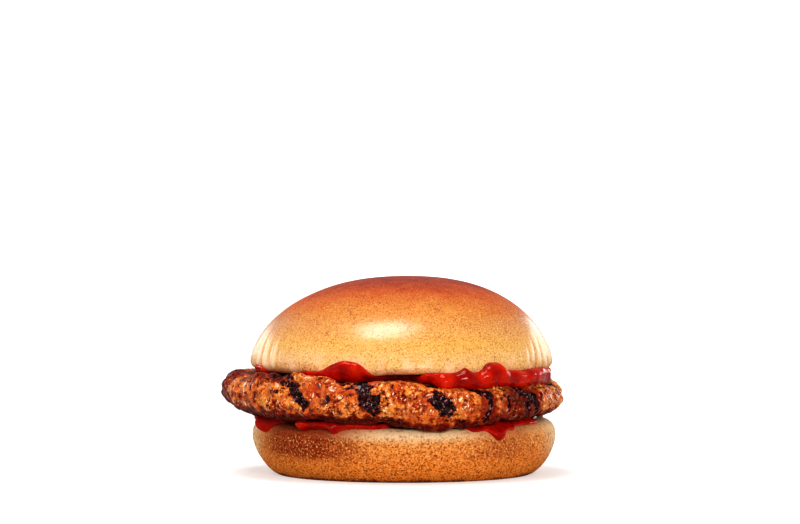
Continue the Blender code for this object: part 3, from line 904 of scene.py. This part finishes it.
def crown_crust():
    """Egg-washed crust: brown at the top, golden down the wall, speckled, and glossy lower down."""
    f = Finish("crown_crust")
    height = (f.axis("Z") - CROWN_CUT) / (CROWN_TOP - CROWN_CUT)
    drift = f.clouds(18 * MM, 2.0) - 0.5
    mottle = f.clouds(4.5 * MM, 4.0, 0.6) - 0.5
    aside = (f.axis("X") - CROWN_X) / BUN_RADIUS
    # Painted shade: the crust is painted browner towards its left and right ends, up the dome.
    painted_side_shade = aside * aside * height.from_to(0.18, 0.55)
    baked = height + drift * 0.16 + mottle * 0.12 + painted_side_shade * 0.30
    base = f.ramp(
        baked,
        (0.00, (0.66, 0.34, 0.19)),
        (0.14, (0.77, 0.46, 0.165)),
        (0.36, (0.76, 0.41, 0.090)),
        (0.56, (0.71, 0.335, 0.085)),
        (0.74, (0.65, 0.255, 0.060)),
        (0.90, (0.57, 0.115, 0.022)),
        (1.00, (0.33, 0.028, 0.010)),
    )
    shade, light = colour(0.60, 0.37, 0.23), colour(0.95, 0.66, 0.30)
    depth = (0.95, 0.62 - height.from_to(0.35, 0.95) * 0.40)
    base = speckled(f, base, shade, light, 0.53 * MM, depth)
    freckles = dots(f, 1.05 * MM, 0.34) * f.clouds(9 * MM, 2.0).from_to(0.30, 0.60)
    base = f.mix(base, colour(0.45, 0.25, 0.16), freckles * 0.22, "MULTIPLY")
    # Pale pinkish patches just above the cut, partly crust colour and partly painted sheen of
    # reflected light, and hair-thin dry cracks where the noise crosses its middle.
    bloom_and_sheen = f.clouds(5 * MM, 3.0, shift=0.3, place=f.drawn_out_upwards(0.3)).from_to(0.46, 0.62)
    base = f.mix(base, colour(0.96, 0.60, 0.40), bloom_and_sheen * (1 - height.from_to(0.04, 0.30)) * 0.60)
    off_crack = f.clouds(7 * MM, 3.0, 0.55, shift=0.8) - 0.5
    crackle = 1 - (off_crack * off_crack * 9000.0).from_to(0.0, 1.0)
    crackle = crackle * f.clouds(11 * MM, 2.0, shift=0.6).from_to(0.52, 0.60)
    base = f.mix(base, colour(0.50, 0.30, 0.24), crackle * height.from_to(0.20, 0.40) * 0.55, "MULTIPLY")
    # Painted shade: dark red-brown painted into the crown's creases.
    base = f.mix(base, colour(0.42, 0.10, 0.015), f.mark("crease").from_to(0.30, 1.0) * 0.75)
    # Pale stretch marks, partly stretched crust and partly painted streaks of reflected light, with less
    # gloss.
    stretched = f.mark("stretch").from_to(0.0, 0.9)
    base = f.mix(base, colour(0.90, 0.71, 0.44), stretched * 0.75)
    relief = f.clouds(1.0 * MM, 3.0, 0.6)
    washed = (1 - height.from_to(0.50, 0.68) * 0.90) * height.from_to(0.08, 0.20)
    return f.shaded(
        Base_Color=base,
        Roughness=0.45,
        Specular_IOR_Level=0.12,
        Coat_Weight=washed * (1 - stretched * 0.7),
        Coat_Roughness=0.27,
        Coat_IOR=1.62,
        Normal=f.bump(relief, 0.18 * MM, 0.8),
    )


def heel_crust():
    """Dry crust, pitted all over, pale at the shoulder and browner towards the foot, with painted light
    at its edges and shoulder and painted shade on its sides and in its pits.
    """
    f = Finish("heel_crust")
    height = f.axis("Z") / HEEL_TOP
    drift = f.clouds(14 * MM, 2.0) - 0.5
    mottle = f.clouds(3 * MM, 4.0, 0.65) - 0.5
    baked = height + drift * 0.22 + mottle * 0.20
    base = f.ramp(
        baked,
        (0.00, (0.34, 0.060, 0.012)),
        (0.08, (0.98, 0.34, 0.050)),
        (0.45, (0.88, 0.30, 0.060)),
        (0.70, (0.84, 0.34, 0.090)),
        (0.95, (0.86, 0.46, 0.20)),
    )
    # Painted shadow under the sausage's overhang, over uneven browning.
    base = f.mix(base, colour(0.34, 0.040, 0.006), f.mark("browned_and_shaded") * 0.90)
    # Painted light on the heel's far edges and shoulder, over paler crust.
    base = f.mix(base, colour(1.0, 0.74, 0.46), f.mark("pale") * 0.90)
    rough = 1 - height.from_to(0.74, 0.92) * 0.75
    shade, light = colour(0.32, 0.17, 0.12), colour(0.98, 0.60, 0.24)
    base = speckled(f, base, shade, light, 0.68 * MM, (rough * 0.95, rough * 0.85))
    # Painted shade: the pits and pores are painted darker in their hollows.
    pits = dots(f, 0.85 * MM, 0.42) * rough
    base = f.mix(base, colour(0.36, 0.20, 0.15), pits * 0.45, "MULTIPLY")
    base = f.mix(base, colour(0.30, 0.055, 0.010), f.mark("pore") * 0.6)
    relief = f.clouds(0.9 * MM, 4.0, 0.7) - pits * 0.6
    return f.shaded(
        Base_Color=base,
        Roughness=0.80,
        Specular_IOR_Level=0.12,
        Normal=f.bump(relief, 0.35 * MM, 1.0),
    )


def grilled_meat():
    """Coarse ground sausage meat, grilled brown and wet with its own grease, with charred grill marks.
    """
    f = Finish("sausage")
    char, deep, lot, seared_and_shaded = (f.mark(name) for name in ("char", "deep", "lot", "seared_and_shaded"))
    tint = f.clouds(2.8 * MM, 3.0, 0.55)
    base = f.ramp(
        tint * 0.9 + lot * 0.1,
        (0.34, (0.54, 0.080, 0.012)),
        (0.46, (0.70, 0.155, 0.023)),
        (0.58, (0.80, 0.235, 0.040)),
        (0.72, (0.90, 0.360, 0.085)),
    )
    browning = f.clouds(7 * MM, 3.0, 0.55)
    base = f.mix(base, colour(0.92, 0.38, 0.070), browning.from_to(0.48, 0.64) * 0.62)
    base = f.mix(base, colour(0.42, 0.036, 0.007), (1 - browning.from_to(0.36, 0.50)) * 0.60)
    # Searing, in streaks, partly painted shade along the underside and under the crown's edge: first
    # brown, then nearly black. Creases and hollows are painted dark too, as painted shade.
    streaks = f.clouds(1.8 * MM, 4.0, 0.65, shift=0.15)
    toasted_and_shaded = (seared_and_shaded * 1.25 + streaks - 0.64).from_to(0.0, 0.36)
    dark = (seared_and_shaded * 1.25 + streaks - 1.08).from_to(0.0, 0.32)
    base = f.mix(base, colour(0.26, 0.017, 0.005), toasted_and_shaded * 0.88)
    base = f.mix(base, colour(0.060, 0.005, 0.006), dark * 0.85)
    # Painted shade in the creases and hollows.
    base = f.mix(base, colour(0.18, 0.011, 0.003), deep * 0.68)
    # The coarse grind: dark veins, dark and pale flecks and cream fatty dots, which are partly painted
    # glints, with calmer places between.
    calm = f.clouds(5 * MM, 2.5, shift=0.25).from_to(0.41, 0.55) * 0.82
    busy = 1 - calm
    bend = f.moved(f.place, f.clouds(2.2 * MM, 1.0) * (2.4 * MM))
    off_vein = f.clouds(2.1 * MM, 3.0, 0.65, place=bend) - 0.5
    veins = 1 - (off_vein * off_vein * 380.0).from_to(0.0, 1.0)
    veins = veins * f.clouds(4 * MM, 2.0, shift=0.6).from_to(0.32, 0.52)
    base = f.mix(base, colour(0.26, 0.017, 0.004), veins * (busy * 0.85 + 0.10))
    flecks = f.clouds(1.6 * MM, 3.0, 0.62, place=bend)
    dark_flecks = (1 - flecks.from_to(0.385, 0.49)) * (busy * 0.85 + 0.12)
    base = f.mix(base, colour(0.15, 0.026, 0.015), dark_flecks, "MULTIPLY")
    pale_flecks = flecks.from_to(0.53, 0.64) * (0.75 - toasted_and_shaded * 0.68) * busy
    base = f.mix(base, colour(1.0, 0.56, 0.21), pale_flecks)
    # Cream dots: partly fatty bits, partly painted glints on the wet meat.
    fat_and_glints = f.clouds(1.05 * MM, 2.0, 0.5, shift=0.4, place=bend)
    fat_and_glints = (fat_and_glints + f.clouds(6 * MM, 2.0, shift=0.35) * 0.30).from_to(0.795, 0.845)
    base = f.mix(base, colour(1.0, 0.76, 0.46), fat_and_glints * (0.90 - toasted_and_shaded * 0.65))
    # Char: a brown scorched fringe round black crust, with ashy grey specks on it that are partly
    # painted glints.
    ragged = f.clouds(2.0 * MM, 4.0, 0.64, shift=0.5)
    scorched = char * 0.90 + (ragged - 0.5) * 2.9
    base = f.mix(base, colour(0.14, 0.009, 0.006), scorched.from_to(0.08, 0.46) * 0.88)
    burnt = scorched.from_to(0.42, 0.66)
    crust = f.clouds(1.1 * MM, 3.0, 0.6, shift=0.8)
    crust = f.ramp(crust, (0.48, (0.006, 0.002, 0.003)), (0.66, (0.085, 0.012, 0.013)))
    base = f.mix(base, crust, burnt * 0.98)
    # Ashy grey specks on the char, partly painted glints.
    ash_and_sheen = f.clouds(1.2 * MM, 2.5, 0.6, shift=0.7, place=bend).from_to(0.58, 0.66) * burnt
    base = f.mix(base, colour(0.42, 0.22, 0.22), ash_and_sheen * 0.80)
    relief = f.clouds(1.6 * MM, 2.5, 0.5, place=bend)
    # Wet all over in spots, but drier where it is seared or charred, and towards the underside.
    wet = (f.clouds(1.7 * MM, 2.0, shift=0.2) + calm * 0.08).from_to(0.50, 0.62)
    height = (f.axis("Z") - PATTY_BOTTOM) / (PATTY_TOP - PATTY_BOTTOM)
    drier_below = (1 - height.from_to(0.05, 0.42)) * 0.75
    return f.shaded(
        Base_Color=base,
        Roughness=0.42,
        Specular_IOR_Level=0.05,
        Coat_Weight=wet * (1 - toasted_and_shaded * 0.65) * (1 - burnt * 0.3) * (1 - drier_below),
        Coat_Roughness=0.10,
        Coat_IOR=1.45,
        Normal=f.bump(relief, 0.60 * MM, 0.9),
    )


def tomato_ketchup():
    """Wet, thick ketchup, with painted shade where it lies thin, back in the gap between bun and
    sausage.
    """
    f = Finish("ketchup")
    drift = f.clouds(6 * MM, 3.0)
    base = f.ramp(
        drift,
        (0.30, (0.25, 0.002, 0.0)),
        (0.50, (0.43, 0.007, 0.0)),
        (0.70, (0.66, 0.026, 0.0)),
    )
    pulp = f.clouds(0.9 * MM, 3.0, 0.6)
    base = f.mix(base, colour(0.22, 0.002, 0.001), pulp.from_to(0.54, 0.70) * 0.50)
    # Painted shade: dark where the sheet lies back in the gap, away from any squeeze.
    base = f.mix(base, colour(0.07, 0.006, 0.002), (1 - f.mark("wet").from_to(0.0, 0.35)) * 0.85)
    return f.shaded(
        Base_Color=base,
        Roughness=0.08,
        Specular_IOR_Level=0.20,
        Normal=f.bump(f.clouds(3.0 * MM, 2.0, 0.4), 0.48 * MM, 1.0),
    )


def white_floor():
    """A matte floor, lifted to white for the eye alone, so that it lights the food as paper does."""
    f = Finish("floor_white")
    seen = f.node("ShaderNodeLightPath", output="Is Camera Ray")
    away = f.node("ShaderNodeVectorMath", {0: f.place}, output="Value", operation="LENGTH")
    lift = f.mix(colour(0.34, 0.34, 0.34), colour(0.75, 0.75, 0.75), away.from_to(0.1, 1.5))
    return f.shaded(
        Base_Color=colour(0.62, 0.61, 0.60),
        Roughness=0.9,
        Specular_IOR_Level=0.1,
        Emission_Color=f.mix(colour(0, 0, 0), lift, seen),
        Emission_Strength=1.0,
    )


# ---------------------------------------------------------------- the set


FLOOR_HALF = 8.0
LIT_HEIGHT = 0.045  # the soft lamps face the sandwich at this height
WORLD_STRENGTH = 0.40


def floor():
    mesh = bpy.data.meshes.new("studio_floor")
    corners = [(x * FLOOR_HALF, y * FLOOR_HALF, 0) for x, y in ((-1, -1), (1, -1), (1, 1), (-1, 1))]
    mesh.from_pydata(corners, [], [(0, 1, 2, 3)])
    mesh.materials.append(white_floor())
    piece = bpy.data.objects.new("studio_floor", mesh)
    bpy.context.scene.collection.objects.link(piece)


def softbox(name, azimuth, elevation, distance, width, height, radiance):
    """A soft lamp that faces the sandwich. Azimuth 0 is the front and 90 is the right."""
    lamp = bpy.data.lights.new(name, "AREA")
    lamp.shape, lamp.size, lamp.size_y = "ELLIPSE", width, height
    lamp.energy = radiance * math.pi * (math.pi / 4 * width * height)
    round_by, up_by = math.radians(azimuth), math.radians(elevation)
    level = math.cos(up_by)
    towards = Vector((math.sin(round_by) * level, -math.cos(round_by) * level, math.sin(up_by)))
    holder = bpy.data.objects.new(name, lamp)
    holder.location = Vector((0, 0, LIT_HEIGHT)) + towards * distance
    holder.rotation_euler = towards.to_track_quat("Z", "Y").to_euler()
    holder.visible_camera = False
    bpy.context.scene.collection.objects.link(holder)


def lights():
    softbox("overhead", azimuth=-44, elevation=78, distance=1.5, width=0.72, height=0.80, radiance=6.6)
    softbox("front", azimuth=14, elevation=12, distance=3.0, width=0.80, height=0.60, radiance=28.0)
    softbox("left", azimuth=-78, elevation=22, distance=1.5, width=1.1, height=1.0, radiance=0.8)
    softbox("right_rear", azimuth=140, elevation=9, distance=1.3, width=1.2, height=0.36, radiance=1.9)
    softbox("left_rear", azimuth=-136, elevation=9, distance=1.3, width=1.3, height=0.36, radiance=1.5)
    world = bpy.data.worlds.new("studio")
    world.use_nodes = True
    background = world.node_tree.nodes["Background"]
    background.inputs["Color"].default_value = colour(1.0, 0.98, 0.95)
    background.inputs["Strength"].default_value = WORLD_STRENGTH
    bpy.context.scene.world = world


CAMERA_DISTANCE = 4.0
CAMERA_ELEVATION = math.radians(4.0)
CAMERA_X = 2.7 * MM
ORBIT_HEIGHT = 30 * MM  # the camera's elevation is seen from this height
AIM_HEIGHT = 72.6 * MM
FRAME_WIDTH = 274.6 * MM  # what the picture's width takes in at the sandwich
SENSOR = 36.0


def camera():
    lens = bpy.data.cameras.new("camera")
    lens.sensor_width = SENSOR
    lens.lens = SENSOR * CAMERA_DISTANCE / FRAME_WIDTH
    lens.clip_end = 100
    holder = bpy.data.objects.new("camera", lens)
    away = CAMERA_DISTANCE * math.cos(CAMERA_ELEVATION)
    rise = CAMERA_DISTANCE * math.sin(CAMERA_ELEVATION)
    holder.location = (CAMERA_X, -away, ORBIT_HEIGHT + rise)
    aim = Vector((CAMERA_X, 0, AIM_HEIGHT)) - holder.location
    holder.rotation_euler = aim.to_track_quat("-Z", "Y").to_euler()
    bpy.context.scene.collection.objects.link(holder)
    bpy.context.scene.camera = holder
    bpy.context.scene.view_settings.view_transform = "Standard"
    bpy.context.scene.view_settings.look = "High Contrast"


# ---------------------------------------------------------------- the sandwich

BODY = next(iter(frame["bodies"]))


def build_sandwich():
    ketchup = tomato_ketchup()
    wrapped("bun_crown", "crown", crown_skin(), crown_crust())
    wrapped("bun_heel", "heel", heel_skin(), heel_crust())
    wrapped("grilled_sausage", "sausage_patty", patty_skin(), grilled_meat())
    upper = ketchup_skin(1, CROWN_X, crown_profile(), UPPER_SQUEEZES, UPPER_SPREAD, UPPER_BELLY)
    wrapped("ketchup_above", "ketchup_upper", upper, ketchup)
    lower = ketchup_skin(-1, HEEL_X, heel_profile(), LOWER_SQUEEZES, LOWER_SPREAD, LOWER_BELLY)
    wrapped("ketchup_below", "ketchup_lower", lower, ketchup)


build_sandwich()
floor()
lights()
camera()

import json
